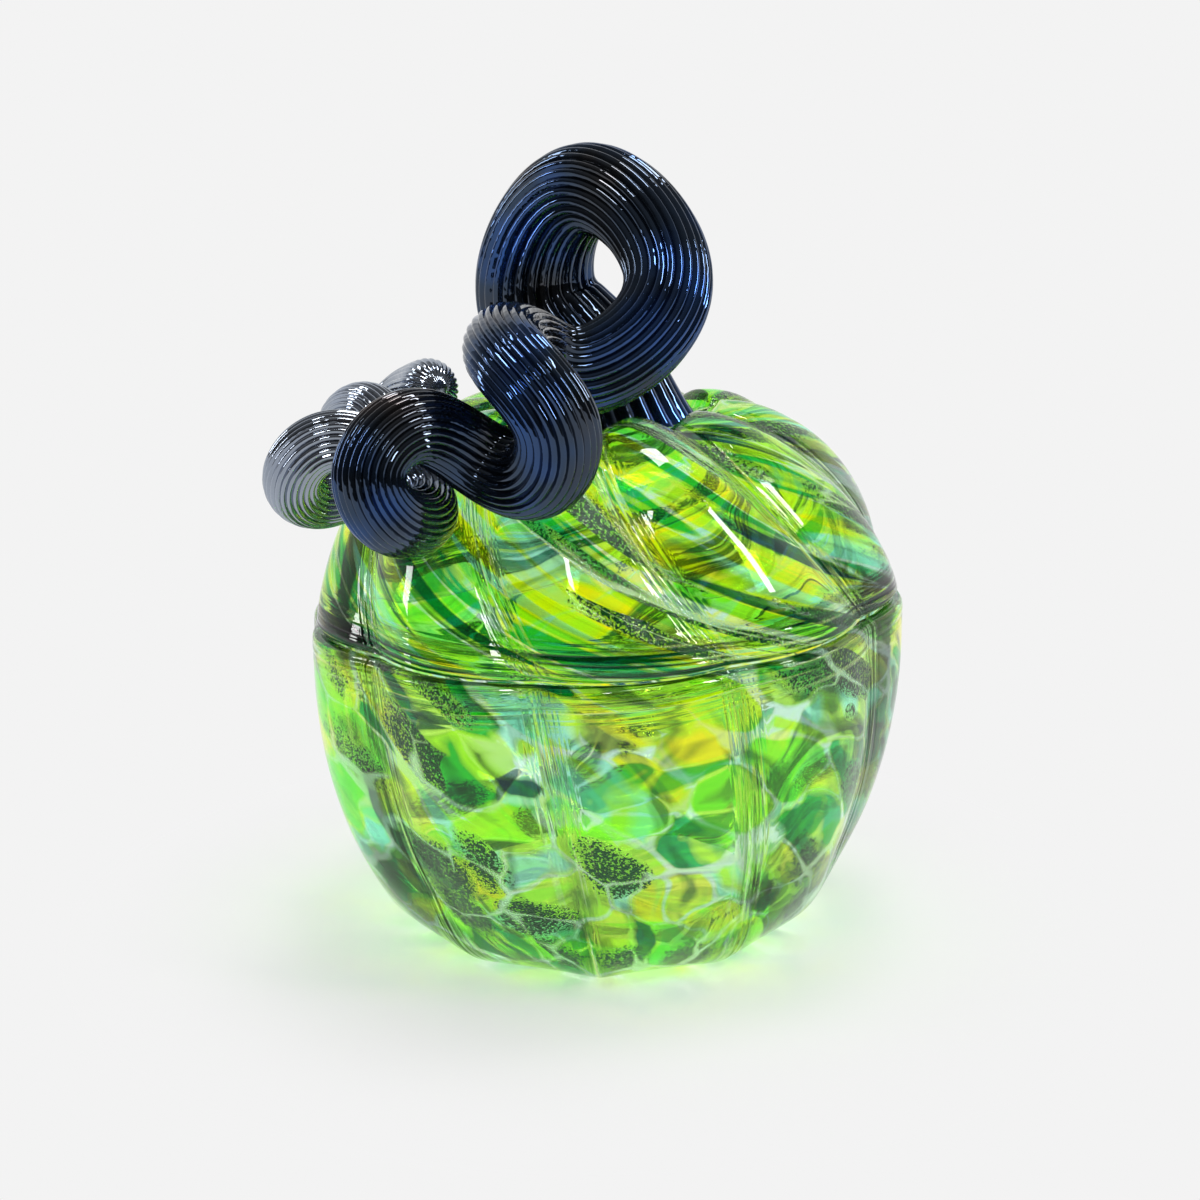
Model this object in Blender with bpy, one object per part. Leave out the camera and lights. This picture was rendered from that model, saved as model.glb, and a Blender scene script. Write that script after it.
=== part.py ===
"""Lidded pumpkin jar of blown glass: a lobed bowl, a lid that lifts off it, and a curled stem on the lid.

Metres, +Z up. The origin is the centre of the flat disc that the jar stands on.
"""

import math

import bmesh
import bpy
import numpy as np
from mathutils import Vector

MM = 0.001

# Fits between the pieces
TOUCH_GAP = 0.3 * MM            # between pieces that rest on each other
FLANGE_CLEARANCE = 0.9 * MM     # lid's flange inside the bowl's mouth, at a crease
DRAPE_GAP = 0.8 * MM            # least gap between the stem's curls and the lid

# Lobes, lined up on bowl and lid
LOBES = 10
LOBE_STEPS = 6
CREASE_TURN = math.radians(6)   # a crease's bearing at the rim, from +X
RIM_TILT = math.radians(2.7)    # the hand-made rim rises towards +X
RIM_WAVE = 1.2 * MM             # and is higher at its sides than in front and behind

# Bowl
BOWL_RADIUS = 65 * MM           # at the crest of a lobe
BOWL_WALL = 4.5 * MM
RIM_HEIGHT = 72.5 * MM
SHOULDER_HEIGHT = 62 * MM       # above this the side stands upright
BASE_RADIUS = 31 * MM           # flat disc under the jar
BASE_THICKNESS = 6 * MM
BOWL_CREASE = 2.6 * MM          # depth of a crease at the rim
TOE_LENGTH = 2.5 * MM           # how far the crease line stands out at the base
TOE_HEIGHT = 24 * MM            # above this it is a crease
BOWL_TWIST = math.radians(11)   # turn of the creases from the rim down to the base

# Lid
LID_INSET = 1.2 * MM            # lid's edge inside the bowl's edge
LID_WALL = 4 * MM
LID_HEIGHT = 44.5 * MM          # rim to the crests round the stem
LID_CREASE = 3 * MM
LID_TWIST = math.radians(25)    # turn of the creases from the rim up to the stem
LIP_HEIGHT = 4 * MM             # solid ring that rests on the bowl's rim
LIP_ROUND = 1.5 * MM
FLANGE_DEPTH = 6.5 * MM         # flange's reach into the bowl
FLANGE_WALL = 3 * MM
SEAT_MARGIN = 1 * MM            # flat seat's edge outside the stem's foot
SEAT_DEPTH = 4 * MM             # flat seat below the crests
CREST_WIDTH = 4 * MM            # seat's edge to the crests
DOME_BREADTH = 0.9              # powers of cosine and sine that shape the dome
DOME_RISE = 1.6

# Stem
FOOT_RADIUS = 20 * MM
FOOT_LENGTH = 20 * MM           # over this the stem turns from its flat foot to its own slant
STEM_RIBS = 28
RIB_DEPTH = 0.075               # groove between two ribs, as a share of the glass's own radius
STEM_RINGS = 92
RING_STEPS = 6                  # small steps from ring to ring, in which the ribs' turn is followed
TIP_RINGS = 3

# The stem's route, a point about every quarter turn: x and y from the jar's axis, height above
# the lid's seat, and the glass's own radius there, all in millimetres.
STEM_ROUTE = (
    # foot and neck
    (0, 0, 0, FOOT_RADIUS / MM),
    (-7, 4, 13, 15.5),
    (-14.7, 6.5, 29, 12.9),
    # large loop: over the top, down its near side, under
    (-3, -3.5, 48, 9.7),
    (13, -20, 31, 9.1),
    (-2.5, -28, 14, 9.1),
    (-15.5, -34, 18.5, 8.8),
    # second turn
    (-18, -55, 20, 8.0),
    (-9, -63, 9, 8.2),
    (-13, -57, -2.5, 8.2),
    (-25, -51.5, 1, 7.6),
    # third turn
    (-36, -59, 7.5, 7.2),
    (-43.5, -64.5, 0, 7.0),
    (-39, -61.5, -10, 6.9),
    (-35.5, -46, -9, 6.6),
    # fourth turn
    (-50, -41, 1.5, 6.2),
    (-61, -41, -4.5, 6.0),
    (-56.5, -33, -11.5, 6.0),
    (-44.5, -28, -3.5, 6.0),
    # last turn and tip
    (-48, -21.5, 4.5, 5.9),
    (-54, -14, 0.5, 5.6),
    (-50.5, -6.5, -1.5, 5.3),
    (-43, -5, 4.5, 5.5),
    (-36.5, -14.5, 8, 6.4),
)

# Sizes that follow from the ones above
LID_RADIUS = BOWL_RADIUS - LID_INSET
UNDERSIDE = RIM_HEIGHT + TOUCH_GAP
LIP_TOP = UNDERSIDE + LIP_HEIGHT
FLANGE_RADIUS = BOWL_RADIUS - BOWL_WALL - BOWL_CREASE - FLANGE_CLEARANCE
CREST_HEIGHT = RIM_HEIGHT + LID_HEIGHT
SEAT_HEIGHT = CREST_HEIGHT - SEAT_DEPTH
SEAT_RADIUS = FOOT_RADIUS + SEAT_MARGIN
CREST_RADIUS = SEAT_RADIUS + CREST_WIDTH


def clamp(share):
    return min(max(share, 0.0), 1.0)


def ease(share):
    """Rises smoothly from 0 to 1."""
    share = clamp(share)
    return share * share * (3 - 2 * share)


def crease(bearing):
    """1 at the bottom of a crease, 0 on the crest of a lobe."""
    return 1 - abs(math.sin(LOBES * bearing / 2))


def tilted(radius, bearing, height):
    """A point of the jar, with the rim's tilt and wave fading out towards the base and the stem."""
    span = RIM_HEIGHT if height < RIM_HEIGHT else SEAT_HEIGHT - RIM_HEIGHT
    share = clamp(1 - ((height - RIM_HEIGHT) / span) ** 2)
    x = radius * math.cos(bearing)
    lift = math.tan(RIM_TILT) * x + RIM_WAVE * math.cos(2 * bearing)
    return Vector((x, radius * math.sin(bearing), height + share * lift))


def carve_bowl(radius, bearing, height):
    """Presses the creases into the turned bowl, and draws their lower ends out into toes."""
    depth = -TOE_LENGTH + (BOWL_CREASE + TOE_LENGTH) * ease(height / TOE_HEIGHT)
    depth *= clamp(radius / BASE_RADIUS)
    twist = CREASE_TURN + BOWL_TWIST * (1 - height / RIM_HEIGHT)
    return tilted(radius - depth * crease(bearing), bearing + twist, height)


def carve_lid(radius, bearing, height):
    """Presses the creases into the turned lid, but not into its flange or its seat."""
    if height < LIP_TOP:
        share = clamp((radius - FLANGE_RADIUS) / (LID_RADIUS - FLANGE_RADIUS))
    else:
        share = clamp((radius - SEAT_RADIUS) / (CREST_RADIUS - SEAT_RADIUS))
    inward = Vector((CREST_RADIUS - radius, RIM_HEIGHT - height)).normalized()
    inward *= LID_CREASE * share * crease(bearing)
    twist = CREASE_TURN - LID_TWIST * max(height - RIM_HEIGHT, 0) / (SEAT_HEIGHT - RIM_HEIGHT)
    return tilted(radius + inward.x, bearing + twist, height + inward.y)


def arc(start, end, steps):
    """Points of a quarter ellipse that leaves start level and reaches end upright."""
    angles = [math.pi / 2 * step / steps for step in range(steps + 1)]
    width = end[0] - start[0]
    rise = end[1] - start[1]
    return [(start[0] + width * math.sin(angle), start[1] + rise * (1 - math.cos(angle))) for angle in angles]


def dome(crest, edge, steps):
    """Points of the lid's dome, from the crests round the stem down to its edge."""
    points = []
    for step in range(steps + 1):
        angle = math.pi / 2 * (1 - step / steps)
        across = max(math.cos(angle), 0.0) ** DOME_BREADTH
        up = math.sin(angle) ** DOME_RISE
        points.append((crest[0] + (edge[0] - crest[0]) * across, edge[1] + (crest[1] - edge[1]) * up))
    return points


def bowl_outline():
    """Half section of the bowl, from the middle of its underside over the rim to its inside."""
    inner_radius = BOWL_RADIUS - BOWL_WALL
    lip_radius = BOWL_WALL / 2
    outside = arc((BASE_RADIUS, 0), (BOWL_RADIUS, SHOULDER_HEIGHT), 9)
    inside = arc((BASE_RADIUS - BOWL_WALL, BASE_THICKNESS), (inner_radius, SHOULDER_HEIGHT), 7)
    lip = []
    for step in range(5):
        angle = math.pi * step / 4
        across = BOWL_RADIUS - lip_radius + lip_radius * math.cos(angle)
        lip.append((across, RIM_HEIGHT - lip_radius + lip_radius * math.sin(angle)))
    return [(0, 0), *outside, *lip, *reversed(inside), (0, BASE_THICKNESS)]


def lid_outline():
    """Half section of the lid, from the middle of its seat over the edge to its inside."""
    ceiling = SEAT_HEIGHT - LID_WALL
    flange_bore = FLANGE_RADIUS - FLANGE_WALL
    outside = dome((CREST_RADIUS, CREST_HEIGHT), (LID_RADIUS, UNDERSIDE + LIP_ROUND), 10)
    inside = dome((CREST_RADIUS, CREST_HEIGHT - LID_WALL), (LID_RADIUS - LID_WALL, LIP_TOP), 7)
    flange = [
        (LID_RADIUS - LIP_ROUND, UNDERSIDE),
        (FLANGE_RADIUS, UNDERSIDE),
        (FLANGE_RADIUS, UNDERSIDE - FLANGE_DEPTH),
        (flange_bore, UNDERSIDE - FLANGE_DEPTH),
        (flange_bore, LIP_TOP),
    ]
    seat = [(0, SEAT_HEIGHT), (SEAT_RADIUS, SEAT_HEIGHT)]
    return [*seat, *outside, *flange, *reversed(inside), (SEAT_RADIUS, ceiling), (0, ceiling)]


def glass(name, colour):
    material = bpy.data.materials.new(name)
    material.use_nodes = True
    shader = material.node_tree.nodes["Principled BSDF"]
    shader.inputs["Base Color"].default_value = (*colour, 1)
    shader.inputs["Roughness"].default_value = 0.05
    shader.inputs["Metallic"].default_value = 0
    return material


def placed(name, solid, material):
    """Makes a smooth-shaded object of a finished solid."""
    mesh = bpy.data.meshes.new(name)
    solid.to_mesh(mesh)
    solid.free()
    mesh.shade_smooth()
    mesh.set_sharp_from_angle(angle=math.radians(50))
    mesh.materials.append(material)
    piece = bpy.data.objects.new(name, mesh)
    bpy.context.scene.collection.objects.link(piece)
    return piece


def turned_piece(name, outline, carve, material):
    """Turns a half section about the axis, carves the lobes and makes an object of it."""
    solid = bmesh.new()
    points = [solid.verts.new((radius, 0, height)) for radius, height in outline]
    edges = [solid.edges.new(pair) for pair in zip(points, points[1:])]
    bmesh.ops.spin(solid, geom=[*points, *edges], cent=(0, 0, 0), axis=(0, 0, 1),
                   angle=math.tau, steps=LOBES * LOBE_STEPS, use_merge=True)
    bmesh.ops.remove_doubles(solid, verts=solid.verts, dist=0.001 * MM)
    bmesh.ops.recalc_face_normals(solid, faces=solid.faces)
    for vert in solid.verts:
        vert.co = carve(math.hypot(vert.co.x, vert.co.y), math.atan2(vert.co.y, vert.co.x), vert.co.z)
    return placed(name, solid, material)


def draped(x, y, height, tube):
    """Moves a point of the stem's route off the lid's dome where its glass would touch it."""
    out = Vector((math.hypot(x, y), height))
    skin = [Vector(spot) for spot in dome((CREST_RADIUS, CREST_HEIGHT), (LID_RADIUS, UNDERSIDE), 60)]
    nearest = min(range(1, len(skin) - 1), key=lambda index: (skin[index] - out).length)
    along = skin[nearest + 1] - skin[nearest - 1]
    normal = Vector((-along.y, along.x)).normalized()
    short = tube + DRAPE_GAP - (out - skin[nearest]).dot(normal)
    if short > 0 and out.x > CREST_RADIUS:
        moved = out + normal * short
        x, y, height = x * moved.x / out.x, y * moved.x / out.x, moved.y
    return x, y, height, tube


def distances(centres):
    """Distance along the stem at each ring."""
    steps = np.linalg.norm(np.diff(centres, axis=0), axis=1)
    return np.concatenate([[0], np.cumsum(steps)])


def smooth_route(points, count):
    """Evenly spaced points on the natural cubic spline through the given points."""
    last = len(points) - 1
    system = np.eye(last + 1)
    bends = np.zeros_like(points)
    for index in range(1, last):
        system[index, index - 1:index + 2] = 1, 4, 1
        bends[index] = 6 * (points[index + 1] - 2 * points[index] + points[index - 1])
    bends = np.linalg.solve(system, bends)
    places = np.linspace(0, last, 40 * last + 1)
    start = np.minimum(places.astype(int), last - 1)
    to = (places - start)[:, None]
    back = 1 - to
    fine = back * points[start] + to * points[start + 1]
    fine += ((back ** 3 - back) * bends[start] + (to ** 3 - to) * bends[start + 1]) / 6
    travelled = distances(fine[:, :3])
    stops = np.linspace(0, travelled[-1], count)
    return np.stack([np.interp(stops, travelled, column) for column in fine.T], axis=1)


def stem_rings():
    """Centre and radius of rings in small steps along the stem, from its flat foot to its rounded tip."""
    base = SEAT_HEIGHT + TOUCH_GAP
    route = [draped(x * MM, y * MM, base + z * MM, tube * MM) for x, y, z, tube in STEM_ROUTE]
    rings = smooth_route(np.array(route), STEM_RINGS * RING_STEPS + 1)
    end = rings[-1]
    ahead = end[:3] - rings[-2, :3]
    ahead /= np.linalg.norm(ahead)
    tip = []
    for step in range(1, TIP_RINGS + 1):
        angle = math.pi / 2 * step / (TIP_RINGS + 0.5)
        tip.append([*(end[:3] + ahead * end[3] * math.sin(angle)), end[3] * math.cos(angle)])
    return np.vstack([rings, tip])


def least_gap(rings):
    """Least gap between two stretches of the stem that aren't neighbours."""
    centres, radii = rings[:, :3], rings[:, 3]
    apart = np.linalg.norm(centres[:, None] - centres[None], axis=2)
    both_radii = radii[:, None] + radii[None]
    travelled = distances(centres)
    between = np.abs(travelled[:, None] - travelled[None])
    return np.where(between < 1.6 * both_radii, np.inf, apart - both_radii).min()


def ring_sides(centres):
    """Two crosswise directions for each ring. The foot's rings lie flat, the others square to the stem."""
    sides = []
    side = Vector((1, 0, 0))
    ahead = np.gradient(centres, axis=0)
    for way, travelled in zip(ahead, distances(centres)):
        normal = Vector((0, 0, 1)).lerp(Vector(way).normalized(), ease(travelled / FOOT_LENGTH)).normalized()
        side = (side - normal * side.dot(normal)).normalized()
        sides.append((side, normal.cross(side)))
    return sides


def curled_stem(name, material):
    """One tapering, ribbed rod of glass along the route: a sheet rolled into a tube, with its ends filled."""
    rings = stem_rings()
    print(f"least gap of the stem to itself: {least_gap(rings) / MM:.2f} mm")
    sides = ring_sides(rings[:, :3])
    used = [*range(0, STEM_RINGS * RING_STEPS, RING_STEPS), *range(STEM_RINGS * RING_STEPS, len(rings))]
    columns = 2 * STEM_RIBS
    solid = bmesh.new()
    bmesh.ops.create_grid(solid, x_segments=columns, y_segments=len(used) - 1, size=1)
    for vert in solid.verts:
        bearing = math.pi * (vert.co.x + 1)
        index = used[round((vert.co.y + 1) / 2 * (len(used) - 1))]
        across = sides[index][0] * math.cos(bearing) + sides[index][1] * math.sin(bearing)
        groove = 1 - abs(math.sin(STEM_RIBS * bearing / 2))
        vert.co = Vector(rings[index, :3]) + across * rings[index, 3] * (1 - RIB_DEPTH * groove)
    bmesh.ops.remove_doubles(solid, verts=solid.verts, dist=0.001 * MM)
    bmesh.ops.holes_fill(solid, edges=solid.edges, sides=columns)
    bmesh.ops.recalc_face_normals(solid, faces=solid.faces)
    return placed(name, solid, material)


for existing in list(bpy.data.objects):
    bpy.data.objects.remove(existing)

turned_piece("bowl", bowl_outline(), carve_bowl, glass("bowl_glass", (0.42, 0.66, 0.08)))
lid = turned_piece("lid", lid_outline(), carve_lid, glass("lid_glass", (0.36, 0.62, 0.10)))
stem = curled_stem("stem", glass("stem_glass", (0.01, 0.013, 0.035)))

# The lid and its stem lift straight up together, along the jar's axis.
lid_lift = bpy.data.objects.new("lid_lift", None)
bpy.context.scene.collection.objects.link(lid_lift)
lid.parent = lid_lift
stem.parent = lid_lift
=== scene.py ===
import math

import bmesh
import bpy
import numpy as np
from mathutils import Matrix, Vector


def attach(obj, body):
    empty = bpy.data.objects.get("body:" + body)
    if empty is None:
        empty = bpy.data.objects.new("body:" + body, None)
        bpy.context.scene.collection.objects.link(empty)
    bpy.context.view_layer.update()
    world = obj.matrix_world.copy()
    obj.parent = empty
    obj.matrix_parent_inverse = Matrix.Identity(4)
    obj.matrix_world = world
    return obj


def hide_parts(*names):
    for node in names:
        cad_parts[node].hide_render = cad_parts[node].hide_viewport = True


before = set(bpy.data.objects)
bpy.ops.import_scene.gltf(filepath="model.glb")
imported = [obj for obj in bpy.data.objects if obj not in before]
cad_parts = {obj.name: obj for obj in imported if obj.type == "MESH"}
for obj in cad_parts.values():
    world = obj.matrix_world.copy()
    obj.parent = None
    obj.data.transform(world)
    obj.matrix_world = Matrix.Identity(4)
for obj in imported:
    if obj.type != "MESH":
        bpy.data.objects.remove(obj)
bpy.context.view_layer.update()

# Bowl
# The lower half of the jar: a gather of clear glass rolled in coarse coloured frit, blown into a ribbed
# mould, cracked off at the rim and fire-polished there. It stands on its own flattened base.

MM = 0.001
LOBES = 10
STEPS_PER_LOBE = 34
CREASE_TURN = math.radians(6)
CREASE_ROUND = 0.07
UNEVENNESS = 0.12               # how much the creases differ in depth
BORE_CREASE = 0.4               # how much of a crease shows on the inside of the wall
RIM_TILT = math.radians(2.7)
RIM_WAVE = 1.2 * MM
RIM_HEIGHT = 72.5 * MM
LIP_STEPS = 12
SIDE_STEPS = 44
BORE_STEPS = 30
BOWL_RADIUS = 65 * MM
BOWL_WALL = 4.5 * MM
SHOULDER_HEIGHT = 62 * MM
BASE_RADIUS = 31 * MM
BASE_THICKNESS = 6 * MM
BOWL_CREASE = 2.6 * MM
TOE_LENGTH = 2.5 * MM
TOE_HEIGHT = 24 * MM
BOWL_TWIST = math.radians(11)
SEAT_HEIGHT = 113 * MM
BOWL_FRIT_ROLL = 45 * MM        # the frit's pattern is laid out on a roll of this radius
BOWL_FRIT_LENGTH = 0.75         # how much of the pattern's length goes on a length of glass
BOWL_SWIRL = 0.75               # how far the frit is swept round below the rim, in radians
BOWL_SWIRL_DEPTH = 40 * MM
SAME_POINT = 0.001 * MM         # points closer than this become one
SHARP_EDGE = math.radians(50)


def clamp(share):
    return min(max(share, 0.0), 1.0)


def ease(share):
    """Rises smoothly from 0 to 1."""
    share = clamp(share)
    return share * share * (3 - 2 * share)


def crease(bearing):
    """1 at the bottom of a crease and 0 on the crest of a lobe."""
    swell = math.sin(LOBES * bearing / 2)
    return (math.hypot(1, CREASE_ROUND) - math.hypot(swell, CREASE_ROUND)) / (1 - CREASE_ROUND)


def uneven(bearing):
    """Slow wander round the jar, between -1 and 1: no two hand-made lobes are the same."""
    return 0.6 * math.sin(3 * bearing + 0.7) + 0.4 * math.sin(7 * bearing + 2.1)


def tilted(radius, bearing, height):
    """A point of the jar, with the rim's tilt fading out towards the base and the stem."""
    span = RIM_HEIGHT if height < RIM_HEIGHT else SEAT_HEIGHT - RIM_HEIGHT
    share = clamp(1 - ((height - RIM_HEIGHT) / span) ** 2)
    x = radius * math.cos(bearing)
    lift = math.tan(RIM_TILT) * x + RIM_WAVE * math.cos(2 * bearing)
    return Vector((x, radius * math.sin(bearing), height + share * lift))


def quarter_ellipse(start, end, steps):
    """Points from start, where the line is level, to end, where it is upright."""
    points = []
    for step in range(steps + 1):
        angle = math.pi / 2 * step / steps
        across = start[0] + (end[0] - start[0]) * math.sin(angle)
        points.append((across, start[1] + (end[1] - start[1]) * (1 - math.cos(angle))))
    return points


def straight(start, end, steps):
    """Points from start to end, without either of them."""
    shares = [step / steps for step in range(1, steps)]
    return [(start[0] + (end[0] - start[0]) * s, start[1] + (end[1] - start[1]) * s) for s in shares]


def turned(name, outside, inside, carve, flow):
    """Turns a half section about the jar's axis and carves it. Each point keeps its place in the frit's
    pattern and its distance from the nearest crease. The inside gets the piece's second material."""
    solid = bmesh.new()
    along = solid.verts.layers.float.new("along")
    fold = solid.verts.layers.float.new("crease_distance")
    side = solid.verts.layers.float.new("crease_offset")
    to_rim = solid.verts.layers.float.new("rim_distance")
    frit = solid.verts.layers.float_vector.new("frit_flow")
    points = []
    travelled = 0
    previous = outside[0]
    for place in [*outside, *inside]:
        travelled += math.dist(previous, place)
        previous = place
        point = solid.verts.new((place[0], 0, place[1]))
        point[along] = travelled
        points.append(point)
    edge_along = points[len(outside) - 1][along]
    edges = [solid.edges.new(pair) for pair in zip(points, points[1:])]
    bmesh.ops.spin(solid, geom=[*points, *edges], cent=(0, 0, 0), axis=(0, 0, 1), angle=math.tau,
                   steps=LOBES * STEPS_PER_LOBE, use_merge=True)
    bmesh.ops.remove_doubles(solid, verts=solid.verts, dist=SAME_POINT)
    bmesh.ops.recalc_face_normals(solid, faces=solid.faces)
    lobe = math.tau / LOBES
    for vert in solid.verts:
        radius = math.hypot(vert.co.x, vert.co.y)
        bearing = math.atan2(vert.co.y, vert.co.x)
        vert[side] = radius * ((bearing + lobe / 2) % lobe - lobe / 2)
        vert[fold] = abs(vert[side])
        vert[to_rim] = edge_along - vert[along]
        vert.co = carve(radius, bearing, vert.co.z, 1 if vert[to_rim] >= 0 else BORE_CREASE)
        vert[frit] = flow(math.atan2(vert.co.y, vert.co.x), vert[to_rim])
    for face in solid.faces:
        face.material_index = int(min(vert[along] for vert in face.verts) >= edge_along)
    return finished(name, solid)


def finished(name, solid):
    """Makes a smooth-shaded object of a finished mesh."""
    mesh = bpy.data.meshes.new(name)
    solid.to_mesh(mesh)
    solid.free()
    mesh.shade_smooth()
    mesh.set_sharp_from_angle(angle=SHARP_EDGE)
    piece = bpy.data.objects.new(name, mesh)
    bpy.context.scene.collection.objects.link(piece)
    return piece


def carve_bowl(radius, bearing, height, share):
    """Presses the creases into the bowl and draws their lower ends out into toes."""
    depth = -TOE_LENGTH + (BOWL_CREASE + TOE_LENGTH) * ease(height / TOE_HEIGHT)
    depth *= clamp(radius / BASE_RADIUS) * (1 + UNEVENNESS * uneven(bearing))
    twist = CREASE_TURN + BOWL_TWIST * (1 - height / RIM_HEIGHT)
    return tilted(radius - share * depth * crease(bearing), bearing + twist, height)


def bowl_flow(bearing, below_rim):
    """Where a point lies in the frit: the swirl is strong under the rim and dies out towards the base."""
    turn = bearing - BOWL_SWIRL * (1 - math.exp(-max(below_rim, 0) / BOWL_SWIRL_DEPTH))
    return BOWL_FRIT_ROLL * math.cos(turn), BOWL_FRIT_ROLL * math.sin(turn), -BOWL_FRIT_LENGTH * below_rim


lip_radius = BOWL_WALL / 2
lip = []
for step in range(LIP_STEPS + 1):
    angle = math.pi * step / LIP_STEPS
    across = BOWL_RADIUS - lip_radius + lip_radius * math.cos(angle)
    lip.append((across, RIM_HEIGHT - lip_radius + lip_radius * math.sin(angle)))
lip_outside = LIP_STEPS // 2 + 1
bowl_side = quarter_ellipse((BASE_RADIUS, 0), (BOWL_RADIUS, SHOULDER_HEIGHT), SIDE_STEPS)
bowl_bore = quarter_ellipse((BASE_RADIUS - BOWL_WALL, BASE_THICKNESS),
                            (BOWL_RADIUS - BOWL_WALL, SHOULDER_HEIGHT), BORE_STEPS)
bowl_outside = [
    (0, 0),
    *straight((0, 0), bowl_side[0], 10),
    *bowl_side,
    *straight(bowl_side[-1], lip[0], 5),
    *lip[:lip_outside],
]
bowl_inside = [
    *lip[lip_outside:],
    *straight(lip[-1], bowl_bore[-1], 5),
    *reversed(bowl_bore),
    *straight(bowl_bore[0], (0, BASE_THICKNESS), 6),
    (0, BASE_THICKNESS),
]
bowl = turned("bowl_shell", bowl_outside, bowl_inside, carve_bowl, bowl_flow)


def colour(hex_text):
    """A linear colour from an sRGB hex value."""
    shares = [int(hex_text[at:at + 2], 16) / 255 for at in (1, 3, 5)]
    return (*[s / 12.92 if s <= 0.04045 else ((s + 0.055) / 1.055) ** 2.4 for s in shares], 1)


def add(tree, kind, inputs, **settings):
    """Adds a shader node, with its settings, and its inputs set or linked. Returns its outputs."""
    node = tree.nodes.new("ShaderNode" + kind)
    for name, value in settings.items():
        setattr(node, name, value)
    for name, value in inputs.items():
        if isinstance(value, bpy.types.NodeSocket):
            tree.links.new(value, node.inputs[name])
        else:
            node.inputs[name].default_value = value
    return node.outputs


def noise(tree, place, size, detail):
    """A soft noise whose swells are about as far apart as size."""
    return add(tree, "TexNoise", {"Vector": place, "Scale": 1 / size, "Detail": detail})["Fac"]


def maths(tree, operation, first, second, **settings):
    """What an operation makes of two numbers."""
    return add(tree, "Math", {0: first, 1: second}, operation=operation, **settings)[0]


def ranged(tree, value, start, end, low=0, high=1, **settings):
    """Goes from low to high as value goes from start to end, and no further."""
    return add(tree, "MapRange", {"Value": value, "From Min": start, "From Max": end,
                                  "To Min": low, "To Max": high}, **settings)["Result"]


def between(tree, share, first, second):
    """A number that goes from first to second as share goes from 0 to 1."""
    return add(tree, "Mix", {0: share, 2: first, 3: second})[0]


def blend(tree, share, first, second, **settings):
    """A colour that goes from first to second as share goes from 0 to 1."""
    return add(tree, "Mix", {0: share, 6: first, 7: second}, data_type="RGBA", **settings)[2]


def empty_material(name):
    material = bpy.data.materials.new(name)
    material.use_nodes = True
    material.node_tree.nodes.clear()
    return material, material.node_tree


def lit_through(tree, surface, tint):
    """Lets light fall through a surface of glass, in its own colour, on what lies behind."""
    shadow = add(tree, "LightPath", {})["Is Shadow Ray"]
    passing = add(tree, "BsdfTransparent", {"Color": tint})["BSDF"]
    return add(tree, "MixShader", {0: shadow, 1: surface, 2: passing})[0]


# Blown soda-lime glass with frit: the chips melt into soft-edged islands of clear yellow and green, and of
# half-opaque jade and slate. Pale veins run where they meet, and dark powder lies in grainy drifts.
GLASS_IOR = 1.5
GATHER_LIME = "#b4ff1c"
CHIP_COLOURS = (                # start in the draw from 0 to 1, colour, how clear it is
    (0.00, "#acff14", 0.92),
    (0.16, "#fcf800", 0.92),
    (0.30, "#60f42c", 0.92),
    (0.42, "#049838", 0.92),
    (0.56, "#90ffd8", 0.72),
    (0.72, "#eeff1c", 0.92),
    (0.84, "#004418", 0.9),
    (0.93, "#042c38", 0.85),
)
WANDER_SIZE = 15 * MM
WANDER_REACH = 12 * MM
WISP_SIZE = 6 * MM
WISP_GREEN = "#004c10"
THICK_GREEN = "#a0ec5c"
VEIN_SWELL = 14 * MM
VEIN_MINT = "#dcfff2"
VEIN_CLEARNESS = 0.75
FILM_GREEN = "#30a010"
GRAIN_SIZE = 0.36 * MM
GRAIN_GREEN = "#001802"
RIPPLE_SIZE = 12 * MM
CORD_SIZE = 1.6 * MM
CORD_PATCHES = 25 * MM
# The cords' dark colour also paints shade in the creases and along the seam, and their pale colour paints
# glints
CORD_DARK_AND_PAINTED_SHADE = "#001806"
CORD_PALE_AND_PAINTED_GLINT = "#f4ffb4"
CREASE_REACH = 5 * MM
RIM_REACH = 11 * MM
LIGHT_TINT = 0.1                # power of the glass's colour in the light that falls through it
INNER_PASS = (0.75, 0.77, 0.8, 1)       # light that the inside of the wall lets through
WHITE = (1, 1, 1, 1)


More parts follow.
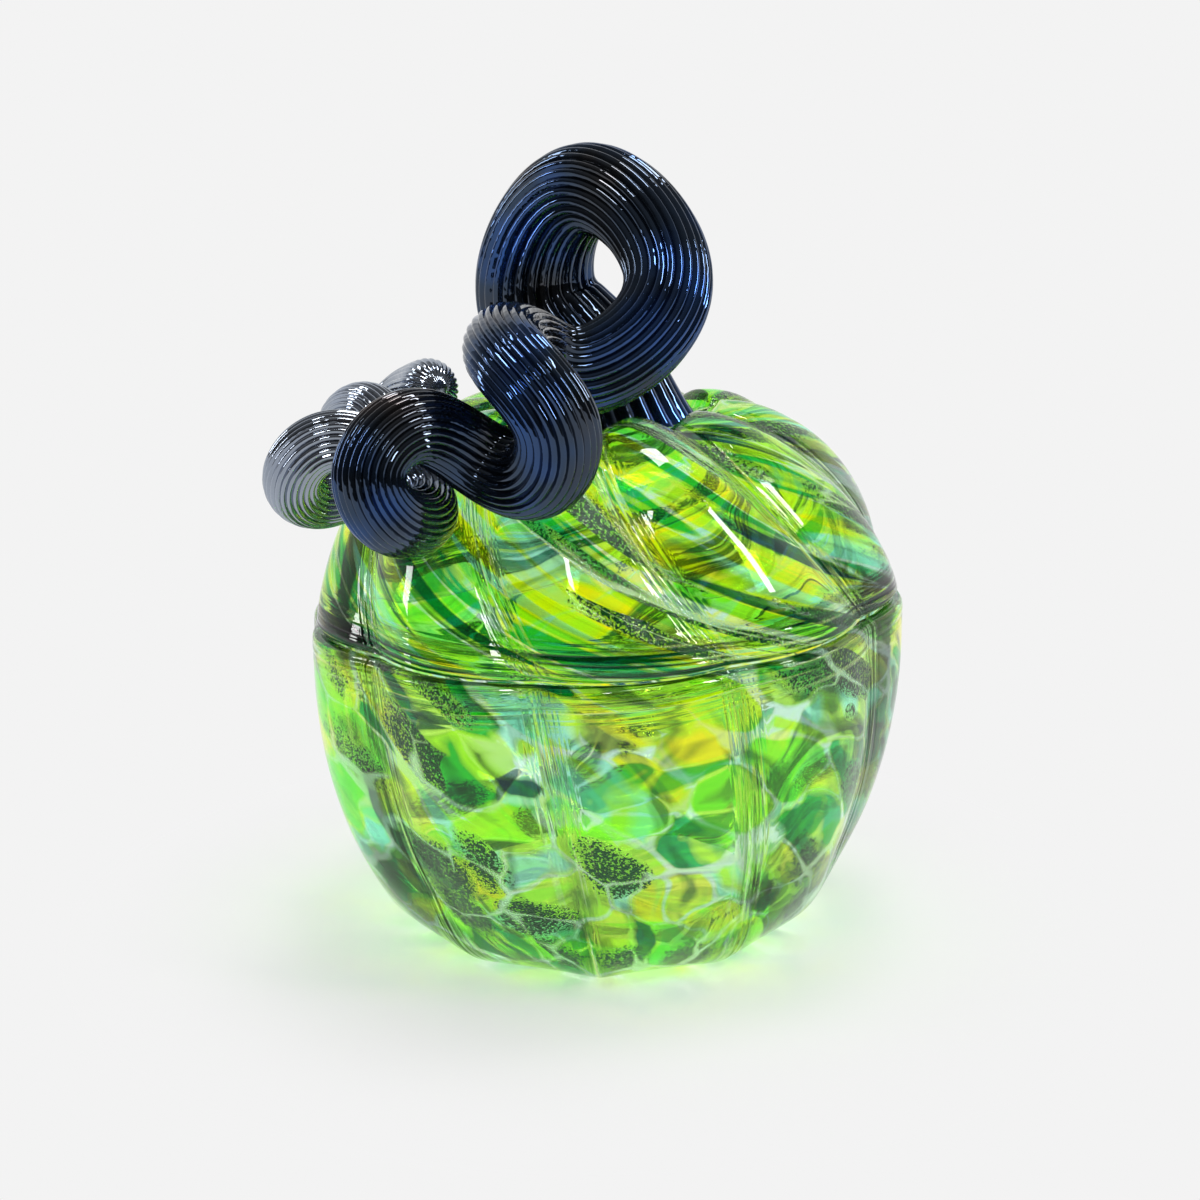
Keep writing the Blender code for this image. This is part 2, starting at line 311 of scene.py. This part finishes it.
def frit_glass(name, chip_size, deepness, vein_width, vein_start, drift_size, powder_share,
               crease_painted_shade, rim_painted_shade):
    """Glass whose frit lies as the mesh's frit_flow says. Deepness is how much the deep green wisps show,
    veins show where a slow noise is over vein_start, powder lies in powder_share of the drifts, and the
    two shades say how dark the cords and the painted shade beside the creases and round the rim are."""
    material, tree = empty_material(name)
    flow = add(tree, "Attribute", {}, attribute_name="frit_flow")["Vector"]

    # The chips' outlines wander as the glass is worked.
    wander = add(tree, "TexNoise", {"Vector": flow, "Scale": 1 / WANDER_SIZE, "Detail": 2})["Color"]
    wander = add(tree, "VectorMath", {0: wander, 1: (0.5, 0.5, 0.5)}, operation="SUBTRACT")["Vector"]
    wander = add(tree, "VectorMath", {0: wander, "Scale": WANDER_REACH}, operation="SCALE")["Vector"]
    place = add(tree, "VectorMath", {0: flow, 1: wander}, operation="ADD")["Vector"]

    chips = add(tree, "TexVoronoi", {"Vector": place, "Scale": 1 / chip_size})
    inset = add(tree, "TexVoronoi", {"Vector": place, "Scale": 1 / chip_size},
                feature="DISTANCE_TO_EDGE")["Distance"]
    pick = add(tree, "SeparateColor", {"Color": chips["Color"]})["Red"]
    ramp = tree.nodes.new("ShaderNodeValToRGB")
    ramp.color_ramp.interpolation = "CONSTANT"
    while len(ramp.color_ramp.elements) < len(CHIP_COLOURS):
        ramp.color_ramp.elements.new(1)
    for element, (start, shade, clearness) in zip(ramp.color_ramp.elements, CHIP_COLOURS):
        element.position = start
        element.color = (*colour(shade)[:3], clearness)
    tree.links.new(pick, ramp.inputs["Fac"])
    island = ranged(tree, inset, 0.01, 0.09)
    tint = blend(tree, island, colour(GATHER_LIME), ramp.outputs["Color"])
    clear = between(tree, island, 1, ramp.outputs["Alpha"])

    # Wisps of the gather's own lime and of deeper green run through the chips.
    wisp_place = add(tree, "VectorMath", {0: place, 1: (1, 1, 0.4)}, operation="MULTIPLY")["Vector"]
    wisps = noise(tree, wisp_place, WISP_SIZE, 2)
    lime = ranged(tree, wisps, 0.55, 0.68)
    deep = ranged(tree, wisps, 0.46, 0.34, high=deepness)
    tint = blend(tree, lime, tint, colour(GATHER_LIME))
    tint = blend(tree, deep, tint, colour(WISP_GREEN))

    # Far from the rim the gather is thicker and its colour deeper.
    to_rim = add(tree, "Attribute", {}, attribute_name="rim_distance")["Fac"]
    thick = ranged(tree, to_rim, 45 * MM, 80 * MM)
    tint = blend(tree, thick, tint, colour(THICK_GREEN), blend_type="MULTIPLY")

    # Veins: thin between two chips, filled out to knots where three of the rounded chips meet
    swell = noise(tree, flow, VEIN_SWELL, 1)
    width = ranged(tree, swell, vein_start, vein_start + 0.25, -0.06, vein_width / chip_size)
    corner = maths(tree, "SUBTRACT", chips["Distance"], 0.62)
    corner = maths(tree, "MULTIPLY", corner, 0.3)
    gap = maths(tree, "SUBTRACT", inset, corner)
    vein = maths(tree, "SUBTRACT", width, gap)
    vein = ranged(tree, vein, -0.03, 0.05, high=0.95)

    # Drifts of dark powder: a green film with nearly black grains, which thin out at its edges. The grains
    # are drawn a little coarse, so that they show.
    drifts = add(tree, "TexVoronoi", {"Vector": place, "Scale": 1 / drift_size})
    drift_pick = add(tree, "SeparateColor", {"Color": drifts["Color"]})["Green"]
    has_powder = maths(tree, "LESS_THAN", drift_pick, powder_share)
    film = ranged(tree, drifts["Distance"], 0.62, 0.36)
    film = maths(tree, "MULTIPLY", film, has_powder)
    spot = add(tree, "TexCoord", {})["Object"]
    grains = add(tree, "TexVoronoi", {"Vector": spot, "Scale": 1 / GRAIN_SIZE})
    grain_pick = add(tree, "SeparateColor", {"Color": grains["Color"]})["Red"]
    level = maths(tree, "MULTIPLY", film, 0.8)
    powder = maths(tree, "SUBTRACT", level, grain_pick)
    powder = ranged(tree, powder, 0, 0.05)
    haze = maths(tree, "MULTIPLY", film, 0.75)

    tint = blend(tree, haze, tint, colour(FILM_GREEN))
    tint = blend(tree, powder, tint, colour(GRAIN_GREEN))
    tint = blend(tree, vein, tint, colour(VEIN_MINT))
    clear = between(tree, vein, clear, VEIN_CLEARNESS)
    roughness = ranged(tree, powder, 0, 1, 0.02, 0.08)

    # Ripples of worked glass, and uneven cords, dark and pale, beside each crease and round the rim. Their
    #     # colours are partly painted light: the dark lines add painted shade in the creases and along the
    #     seam
    #     # between lid and bowl, and the pale lines add painted glints on the creases and the rounded rim.
    ripple = noise(tree, spot, RIPPLE_SIZE, 0)
    normal = add(tree, "Bump", {"Height": ripple, "Strength": 0.3, "Distance": 1.5 * MM})["Normal"]
    patches = noise(tree, flow, CORD_PATCHES, 0)
    patches = ranged(tree, patches, 0.38, 0.58, low=0.6)
    sway = add(tree, "VectorMath", {0: flow, "Scale": 0.06}, operation="SCALE")["Vector"]
    cord_bundles = (
        ("crease_offset", "crease_distance", CREASE_REACH, crease_painted_shade),
        ("rim_distance", "rim_distance", RIM_REACH, rim_painted_shade),
    )
    for offset, distance, reach, cord_and_painted_shade in cord_bundles:
        lane = add(tree, "Attribute", {}, attribute_name=offset)["Fac"]
        lane = add(tree, "CombineXYZ", {"X": lane})["Vector"]
        lane = add(tree, "VectorMath", {0: lane, 1: sway}, operation="ADD")["Vector"]
        cords = noise(tree, lane, CORD_SIZE, 1)
        away = add(tree, "Attribute", {}, attribute_name=distance)["Fac"]
        near = ranged(tree, away, 0, reach, 1, 0)
        normal = add(tree, "Bump", {"Height": cords, "Strength": near, "Distance": 1 * MM,
                                    "Normal": normal})["Normal"]
        # Dark lines: dark cords and painted shade. Pale lines: pale cords and painted glints.
        dark = ranged(tree, cords, 0.58, 0.4, high=cord_and_painted_shade)
        dark = maths(tree, "MULTIPLY", dark, patches)
        dark = maths(tree, "MULTIPLY", dark, near, use_clamp=True)
        pale = ranged(tree, cords, 0.58, 0.68)
        pale = maths(tree, "MULTIPLY", pale, near)
        tint = blend(tree, dark, tint, colour(CORD_DARK_AND_PAINTED_SHADE))
        tint = blend(tree, pale, tint, colour(CORD_PALE_AND_PAINTED_GLINT))
    grit = maths(tree, "MULTIPLY", film, 0.4)
    normal = add(tree, "Bump", {"Height": grains["Distance"], "Strength": grit, "Distance": 0.4 * MM,
                                "Normal": normal})["Normal"]

    shader = add(tree, "BsdfPrincipled", {"Base Color": tint, "Roughness": roughness, "IOR": GLASS_IOR,
                                          "Transmission Weight": clear, "Normal": normal})
    lit = add(tree, "Gamma", {"Color": tint, "Gamma": LIGHT_TINT})["Color"]
    add(tree, "OutputMaterial", {"Surface": lit_through(tree, shader["BSDF"], lit)})
    return material


# The inside of the wall is the clear gather that the frit was rolled on.
clear_glass, tree = empty_material("clear_inner_glass")
shader = add(tree, "BsdfPrincipled", {"Base Color": WHITE, "Roughness": 0.02, "IOR": GLASS_IOR,
                                      "Transmission Weight": 1})
add(tree, "OutputMaterial", {"Surface": lit_through(tree, shader["BSDF"], INNER_PASS)})

bowl_frit = frit_glass("bowl_frit_glass", chip_size=9.5 * MM, deepness=0.9, vein_width=0.5 * MM,
                       vein_start=0.31, drift_size=11 * MM, powder_share=0.3, crease_painted_shade=0.7,
                       rim_painted_shade=0.8)
bowl.data.materials.append(bowl_frit)
bowl.data.materials.append(clear_glass)
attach(bowl, "bowl")
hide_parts("bowl")

# Lid
# The upper half: the same kind of gather, twisted while soft so that its frit runs in long streaks, with a
# flange turned inwards that keeps it on the bowl. It only rests there, and lifts off by the stem.

LID_RADIUS = BOWL_RADIUS - 1.2 * MM
LID_WALL = 4 * MM
LID_CREASE = 3 * MM
LID_TWIST = math.radians(25)
GLASS_GAP = 0.3 * MM            # stands in for glass that rests on glass or is welded to it
UNDERSIDE = RIM_HEIGHT + GLASS_GAP
LIP_TOP = UNDERSIDE + 4 * MM
LIP_ROUND = 1.5 * MM
FLANGE_RADIUS = 57 * MM
FLANGE_WALL = 3 * MM
FLANGE_DEPTH = 6.5 * MM
FLANGE_ROUND = 1 * MM
SEAT_RADIUS = 21 * MM
CREST_RADIUS = 25 * MM
CREST_HEIGHT = 117 * MM
DOME_BREADTH = 0.9
DOME_RISE = 1.6
DOME_STEPS = 50
LID_FRIT_ROLL = 60 * MM
LID_FRIT_LENGTH = 0.34
LID_LEAN = 21                   # how far the streaks run round as they rise, in radians for a metre
LID_SWIRL = 0.35
LID_SWIRL_DEPTH = 12 * MM


def dome(crest, edge, steps):
    """Points of the dome, from the crests round the stem down to its edge."""
    points = []
    for step in range(steps + 1):
        angle = math.pi / 2 * (1 - step / steps)
        across = max(math.cos(angle), 0.0) ** DOME_BREADTH
        up = math.sin(angle) ** DOME_RISE
        points.append((crest[0] + (edge[0] - crest[0]) * across, edge[1] + (crest[1] - edge[1]) * up))
    return points


def carve_lid(radius, bearing, height, share):
    """Presses the creases into the lid, but not into its flange or its seat."""
    if height < LIP_TOP:
        share *= clamp((radius - FLANGE_RADIUS) / (LID_RADIUS - FLANGE_RADIUS))
    else:
        share *= clamp((radius - SEAT_RADIUS) / (CREST_RADIUS - SEAT_RADIUS))
    inward = Vector((CREST_RADIUS - radius, RIM_HEIGHT - height)).normalized()
    inward *= LID_CREASE * share * crease(bearing) * (1 + UNEVENNESS * uneven(bearing + 1))
    twist = CREASE_TURN - LID_TWIST * max(height - RIM_HEIGHT, 0) / (SEAT_HEIGHT - RIM_HEIGHT)
    return tilted(radius + inward.x, bearing + twist, height + inward.y)


def lid_flow(bearing, above_rim):
    """Where a point lies in the frit: nearly level streaks at the edge, steeper ones by the stem."""
    swirl = LID_SWIRL * (1 - math.exp(-max(above_rim, 0) / LID_SWIRL_DEPTH))
    turn = bearing + LID_LEAN * above_rim + swirl
    return LID_FRIT_ROLL * math.cos(turn), LID_FRIT_ROLL * math.sin(turn), LID_FRIT_LENGTH * above_rim


lid_dome = dome((CREST_RADIUS, CREST_HEIGHT), (LID_RADIUS, UNDERSIDE + LIP_ROUND), DOME_STEPS)
lid_bore = dome((CREST_RADIUS, CREST_HEIGHT - LID_WALL), (LID_RADIUS - LID_WALL, LIP_TOP), BORE_STEPS)
ceiling = SEAT_HEIGHT - LID_WALL
flange_bore = FLANGE_RADIUS - FLANGE_WALL
flange_foot = UNDERSIDE - FLANGE_DEPTH
lid_outside = [
    (0, SEAT_HEIGHT),
    *straight((0, SEAT_HEIGHT), (SEAT_RADIUS, SEAT_HEIGHT), 5),
    (SEAT_RADIUS, SEAT_HEIGHT),
    *straight((SEAT_RADIUS, SEAT_HEIGHT), lid_dome[0], 6),
    *lid_dome,
    (LID_RADIUS - 0.4 * LIP_ROUND, UNDERSIDE + 0.3 * LIP_ROUND),
    (LID_RADIUS - LIP_ROUND, UNDERSIDE),
]
lid_inside = [
    (FLANGE_RADIUS, UNDERSIDE),
    (FLANGE_RADIUS, flange_foot + FLANGE_ROUND),
    (FLANGE_RADIUS - 0.3 * FLANGE_ROUND, flange_foot + 0.3 * FLANGE_ROUND),
    (FLANGE_RADIUS - FLANGE_ROUND, flange_foot),
    (flange_bore + FLANGE_ROUND, flange_foot),
    (flange_bore + 0.3 * FLANGE_ROUND, flange_foot + 0.3 * FLANGE_ROUND),
    (flange_bore, flange_foot + FLANGE_ROUND),
    (flange_bore, LIP_TOP),
    *reversed(lid_bore),
    (SEAT_RADIUS, ceiling),
    *straight((SEAT_RADIUS, ceiling), (0, ceiling), 4),
    (0, ceiling),
]
lid = turned("lid_shell", lid_outside, lid_inside, carve_lid, lid_flow)
lid_frit = frit_glass("lid_frit_glass", chip_size=7.5 * MM, deepness=0.5, vein_width=0.5 * MM,
                      vein_start=0.4, drift_size=11 * MM, powder_share=0.34, crease_painted_shade=0.5,
                      rim_painted_shade=2.8)
lid.data.materials.append(lid_frit)
lid.data.materials.append(clear_glass)
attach(lid, "lid")
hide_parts("lid")

# Stem
# One rod of dark glass drawn out of a ribbed mould, dropped on the lid as a flat foot, pulled up into a
# loop and wound into smaller turns. Its lustre skin was fumed on while hot, and it is welded to the lid.

FOOT_LENGTH = 20 * MM
STEM_RIBS = 28
STEPS_PER_RIB = 6
STEM_RINGS = 553
TIP_RINGS = 10
TIP_OPEN = 0.4                  # rings that the round tip falls short of a point
SPLINE_STEPS = 40
RIB_DEPTH = 0.075               # of the rod's own radius
SKIN_SIZE = 20 * MM
DENT_SIZE = 2.5 * MM
SILVER_SHEEN = "#b0b8c4"
LUSTRE = ((0.22, "#665850"), (0.38, "#44484e"), (0.54, "#3c4a5e"), (0.78, "#385c9c"))
STEM_ROUTE = (                  # across, back, up from the seat and the rod's radius, all in mm
    (0, 0, 0, 20),
    (-7, 4, 13, 15.5),
    (-14.7, 6.5, 29, 12.9),
    (-3, -3.5, 48, 9.7),
    (13, -20, 31, 9.1),
    (-2.5, -28, 14, 9.1),
    (-15.5, -34, 18.5, 8.8),
    (-18, -55, 20, 8.0),
    (-9, -63, 9, 8.2),
    (-13, -57, -2.5, 8.2),
    (-25, -51.5, 1, 7.6),
    (-36, -59, 7.5, 7.2),
    (-43.5, -64.5, 0, 7.0),
    (-39, -61.5, -10, 6.9),
    (-35.5, -46, -9, 6.6),
    (-50, -41, 1.5, 6.2),
    (-61, -41, -4.5, 6.0),
    (-56.5, -33, -11.5, 6.0),
    (-44.5, -28, -3.5, 6.0),
    (-48, -21.5, 4.5, 5.9),
    (-54, -14, 0.5, 5.6),
    (-50.5, -6.5, -1.5, 5.3),
    (-43, -5, 4.5, 5.5),
    (-36.5, -14.5, 8, 6.4),
)


def distances(centres):
    """Distance along the stem at each ring."""
    steps = np.linalg.norm(np.diff(centres, axis=0), axis=1)
    return np.concatenate([[0], np.cumsum(steps)])


def smooth_route(points, count):
    """Evenly spaced points on the natural cubic spline through the given points."""
    last = len(points) - 1
    system = np.eye(last + 1)
    bends = np.zeros_like(points)
    for index in range(1, last):
        system[index, index - 1:index + 2] = 1, 4, 1
        bends[index] = 6 * (points[index + 1] - 2 * points[index] + points[index - 1])
    bends = np.linalg.solve(system, bends)
    places = np.linspace(0, last, SPLINE_STEPS * last + 1)
    start = np.minimum(places.astype(int), last - 1)
    to = (places - start)[:, None]
    back = 1 - to
    fine = back * points[start] + to * points[start + 1]
    fine += ((back ** 3 - back) * bends[start] + (to ** 3 - to) * bends[start + 1]) / 6
    travelled = distances(fine[:, :3])
    stops = np.linspace(0, travelled[-1], count)
    return np.stack([np.interp(stops, travelled, column) for column in fine.T], axis=1)


def ring_sides(centres):
    """Two crosswise directions for each ring. The foot's rings lie flat, the others square to the stem."""
    sides = []
    side = Vector((1, 0, 0))
    upright = Vector((0, 0, 1))
    ahead = np.gradient(centres, axis=0)
    for way, travelled in zip(ahead, distances(centres)):
        normal = upright.lerp(Vector(way).normalized(), ease(travelled / FOOT_LENGTH)).normalized()
        side = (side - normal * side.dot(normal)).normalized()
        sides.append((side, normal.cross(side)))
    return sides


stem_base = SEAT_HEIGHT + GLASS_GAP
route = [(x * MM, y * MM, stem_base + z * MM, tube * MM) for x, y, z, tube in STEM_ROUTE]
rings = smooth_route(np.array(route), STEM_RINGS)
end = rings[-1]
ahead = end[:3] - rings[-2, :3]
ahead /= np.linalg.norm(ahead)
tip = []
for step in range(1, TIP_RINGS + 1):
    angle = math.pi / 2 * step / (TIP_RINGS + TIP_OPEN)
    tip.append([*(end[:3] + ahead * end[3] * math.sin(angle)), end[3] * math.cos(angle)])
rings = np.vstack([rings, tip])
sides = ring_sides(rings[:, :3])
last_ring = len(rings) - 1
rod = bmesh.new()
drawn = rod.verts.layers.float.new("drawn_share")
bmesh.ops.create_grid(rod, x_segments=STEM_RIBS * STEPS_PER_RIB, y_segments=last_ring, size=1)
for vert in rod.verts:
    bearing = math.pi * (vert.co.x + 1)
    index = round((vert.co.y + 1) / 2 * last_ring)
    vert[drawn] = index / last_ring
    rib = 1 - abs(math.sin(STEM_RIBS * bearing / 2))
    across = sides[index][0] * math.cos(bearing) + sides[index][1] * math.sin(bearing)
    vert.co = Vector(rings[index, :3]) + across * rings[index, 3] * (1 - RIB_DEPTH * rib)
bmesh.ops.remove_doubles(rod, verts=rod.verts, dist=SAME_POINT)
bmesh.ops.holes_fill(rod, edges=rod.edges, sides=0)
bmesh.ops.recalc_face_normals(rod, faces=rod.faces)
stem = finished("stem_rod", rod)

# Fumed black glass: a dark body under a thin metallic skin that mirrors its surroundings in navy, with
# cobalt and brown where the skin is thinner or thicker. Towards the tip it turns to silver, a painted
# sheen for the bright light that its last coils catch.
stem_material, tree = empty_material("stem_lustre_glass")
spot = add(tree, "TexCoord", {})["Object"]
skin_depth = noise(tree, spot, SKIN_SIZE, 2)
ramp = tree.nodes.new("ShaderNodeValToRGB")
ramp.color_ramp.elements.new(0.5)
ramp.color_ramp.elements.new(0.6)
for element, (position, shade) in zip(ramp.color_ramp.elements, LUSTRE):
    element.position = position
    element.color = colour(shade)
tree.links.new(skin_depth, ramp.inputs["Fac"])
share = add(tree, "Attribute", {}, attribute_name="drawn_share")["Fac"]
# The paler silver of the last coils is a painted sheen.
silver_sheen = ranged(tree, share, 0.62, 0.75, high=0.75)
skin = blend(tree, silver_sheen, ramp.outputs["Color"], colour(SILVER_SHEEN))
dents = noise(tree, spot, DENT_SIZE, 1)
normal = add(tree, "Bump", {"Height": dents, "Strength": 0.5, "Distance": 0.3 * MM})["Normal"]
shader = add(tree, "BsdfPrincipled", {"Base Color": skin, "Metallic": 0.95, "Roughness": 0.05,
                                      "Normal": normal})
add(tree, "OutputMaterial", {"Surface": shader["BSDF"]})
stem.data.materials.append(stem_material)
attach(stem, "lid")
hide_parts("stem")

# Floor
# A pale seamless sweep that takes the jar's shadow. Away from the jar it fades into an even white, which
# the glass and the lustre show too. Towards the camera they show instead a painted shade, as of a darker
# card, which the picture itself does not show.

FLOOR_RADIUS = 4
SHADOW_REACH = 0.12
FLOOR_WHITE = "#f4f4f4"
BACKGROUND = "#f3f3f3"
PAINTED_SHADE_START = -0.05              # along Y
PAINTED_SHADE_FULL = -0.14
MIRRORED_PAINTED_SHADE = 0.15            # how dark the painted shade is in a reflection
THROUGH_GLASS_PAINTED_SHADE = 0.9              # how dark it is through the glass
BLACK = (0, 0, 0, 1)

disc = bmesh.new()
bmesh.ops.create_circle(disc, cap_ends=True, segments=64, radius=FLOOR_RADIUS)
floor = finished("floor", disc)
floor_material, tree = empty_material("white_sweep")
spot = add(tree, "TexCoord", {})["Object"]
away = add(tree, "VectorMath", {0: spot}, operation="LENGTH")["Value"]
fade = ranged(tree, away, 0, SHADOW_REACH, interpolation_type="SMOOTHSTEP")
near = add(tree, "BsdfDiffuse", {"Color": colour(FLOOR_WHITE)})["BSDF"]
path = add(tree, "LightPath", {})
white = blend(tree, path["Is Transmission Ray"], colour(BACKGROUND), WHITE)
ahead = add(tree, "SeparateXYZ", {"Vector": spot})["Y"]
# Painted shade in front of the jar, met only by reflections and by rays through the glass
painted_card_shade = ranged(tree, ahead, PAINTED_SHADE_START, PAINTED_SHADE_FULL)
mirrored = maths(tree, "MULTIPLY", path["Is Glossy Ray"], MIRRORED_PAINTED_SHADE)
through = maths(tree, "MULTIPLY", path["Is Transmission Ray"], THROUGH_GLASS_PAINTED_SHADE)
dimmed = maths(tree, "MAXIMUM", mirrored, through)
painted_card_shade = maths(tree, "MULTIPLY", painted_card_shade, dimmed)
white = blend(tree, painted_card_shade, white, BLACK)
far = add(tree, "Emission", {"Color": white, "Strength": 1})["Emission"]
# Seen through the glass, the floor close by the jar is mostly white emission: painted light over the jar's
# shadow
beside = ranged(tree, away, 0.03, 0.08, low=0.45)
seen = maths(tree, "MULTIPLY", path["Is Transmission Ray"], beside)
fade = maths(tree, "MAXIMUM", fade, seen)
mixed = add(tree, "MixShader", {0: fade, 1: near, 2: far})[0]
add(tree, "OutputMaterial", {"Surface": mixed})
floor.data.materials.append(floor_material)

# Light
# A soft box overhead and tall narrow windows on the right, on the left and in front, in a room that is
# white behind the jar and dark behind the camera.

LAMP_TARGET = Vector((0, 0, 0.08))

world = bpy.data.worlds.new("studio")
world.use_nodes = True
tree = world.node_tree
tree.nodes.clear()
direction = add(tree, "TexCoord", {})["Generated"]
towards = add(tree, "SeparateXYZ", {"Vector": direction})
level = ranged(tree, towards["Y"], -0.3, 0.7, 0.03, 0.9, interpolation_type="SMOOTHSTEP")
overhead = ranged(tree, towards["Z"], 0.3, 0.9)
level = between(tree, overhead, level, 0.15)
path = add(tree, "LightPath", {})
behind = maths(tree, "GREATER_THAN", towards["Y"], 0.5)
seen = maths(tree, "MULTIPLY", path["Is Glossy Ray"], behind)
seen = maths(tree, "MAXIMUM", seen, path["Is Camera Ray"])
shade = blend(tree, seen, level, colour(BACKGROUND))
through = ranged(tree, towards["Y"], -0.35, 0.05)
through = maths(tree, "MULTIPLY", through, path["Is Transmission Ray"])
shade = blend(tree, through, shade, WHITE)
sky = add(tree, "Background", {"Color": shade, "Strength": 1})["Background"]
add(tree, "OutputWorld", {"Surface": sky})
bpy.context.scene.world = world


def soft_box(name, place, width, height, watts):
    """A rectangular lamp that faces the middle of the jar."""
    lamp = bpy.data.lights.new(name, "AREA")
    lamp.shape = "RECTANGLE"
    lamp.size = width
    lamp.size_y = height
    lamp.energy = watts
    holder = bpy.data.objects.new(name, lamp)
    holder.location = place
    holder.rotation_euler = (Vector(place) - LAMP_TARGET).to_track_quat("Z", "Y").to_euler()
    bpy.context.scene.collection.objects.link(holder)


soft_box("overhead_box", (0.05, 0.05, 1.0), 0.25, 0.25, 3.2)
soft_box("right_window", (0.62, -0.28, 0.6), 0.1, 0.45, 3.1)
soft_box("front_window", (-0.25, -0.8, 0.8), 0.08, 0.25, 1.3)
soft_box("left_window", (-0.85, 0, 0.45), 0.1, 0.45, 1.7)

# Camera
# A little above the top of the stem, looking down at the front of the jar.

PHOTO_WIDTH = 1200
FOCAL_PIXELS = 2113
SHIFT_PIXELS = -4
CAMERA_PITCH = 14.156           # degrees below level
camera_data = bpy.data.cameras.new("camera")
camera_data.sensor_width = 36
camera_data.lens = camera_data.sensor_width * FOCAL_PIXELS / PHOTO_WIDTH
camera_data.shift_x = SHIFT_PIXELS / PHOTO_WIDTH
camera = bpy.data.objects.new("camera", camera_data)
camera.location = (0, -0.45, 0.186)
camera.rotation_euler = (math.radians(90 - CAMERA_PITCH), 0, 0)
bpy.context.scene.collection.objects.link(camera)
bpy.context.scene.camera = camera
bpy.context.scene.view_settings.view_transform = "Standard"
